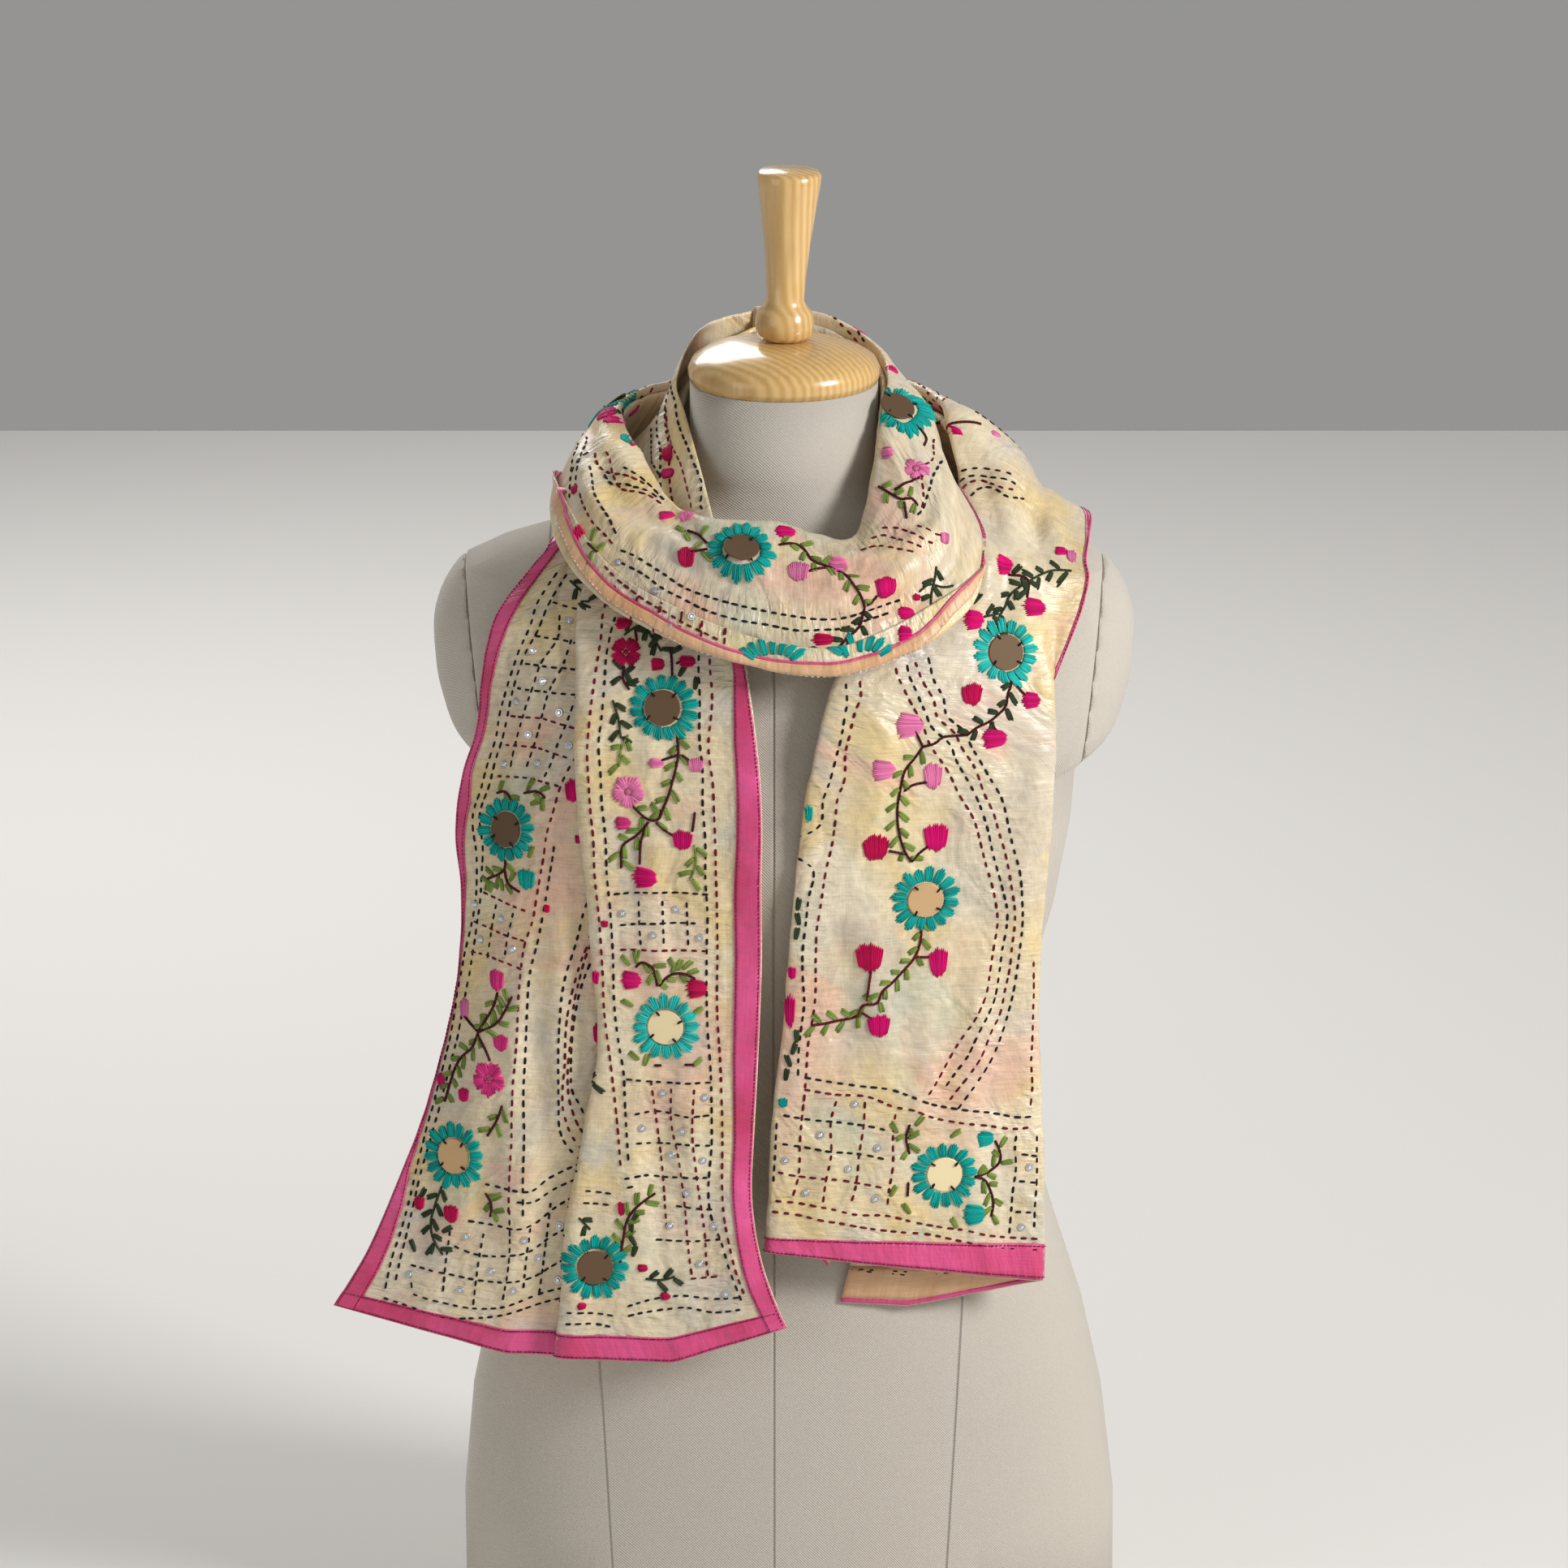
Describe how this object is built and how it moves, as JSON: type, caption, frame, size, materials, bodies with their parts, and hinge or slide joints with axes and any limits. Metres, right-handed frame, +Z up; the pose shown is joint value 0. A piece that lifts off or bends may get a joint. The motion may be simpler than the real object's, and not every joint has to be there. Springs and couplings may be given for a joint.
{
  "type": "embroidered stole on a limbless dress form",
  "caption": "Long embroidered mirror-work stole wound round the neck of a padded dress form, both ends hanging in front.",
  "frame": {"origin": "centre of the dress form's flat cut base, under the neck", "axes": "+Z up, -Y towards the viewer of the stole's front, +X to the viewer's right"},
  "size_m": [0.4686, 0.2625, 0.8815],
  "materials": {
    "linen": "plain oatmeal linen cover, matt",
    "wood": "honey varnish, satin",
    "silk": "raw silk with slubs, cream with soft dyed patches, embroidered",
    "satin": "pink satin edge border",
    "facing": "peach reverse of the border, matt"
  },
  "bodies": {
    "root": {"form_torso": "linen", "arm_stump_left": "linen", "arm_stump_right": "linen", "neck_cap": "wood", "finial": "wood", "left_fall": "silk", "neck_band": "silk", "cowl": "silk", "back_wrap": "silk", "right_fall": "silk", "left_outer_border": "satin", "left_inner_border": "satin", "back_border": "satin", "cowl_facing": "facing"}
  },
  "joints": []
}
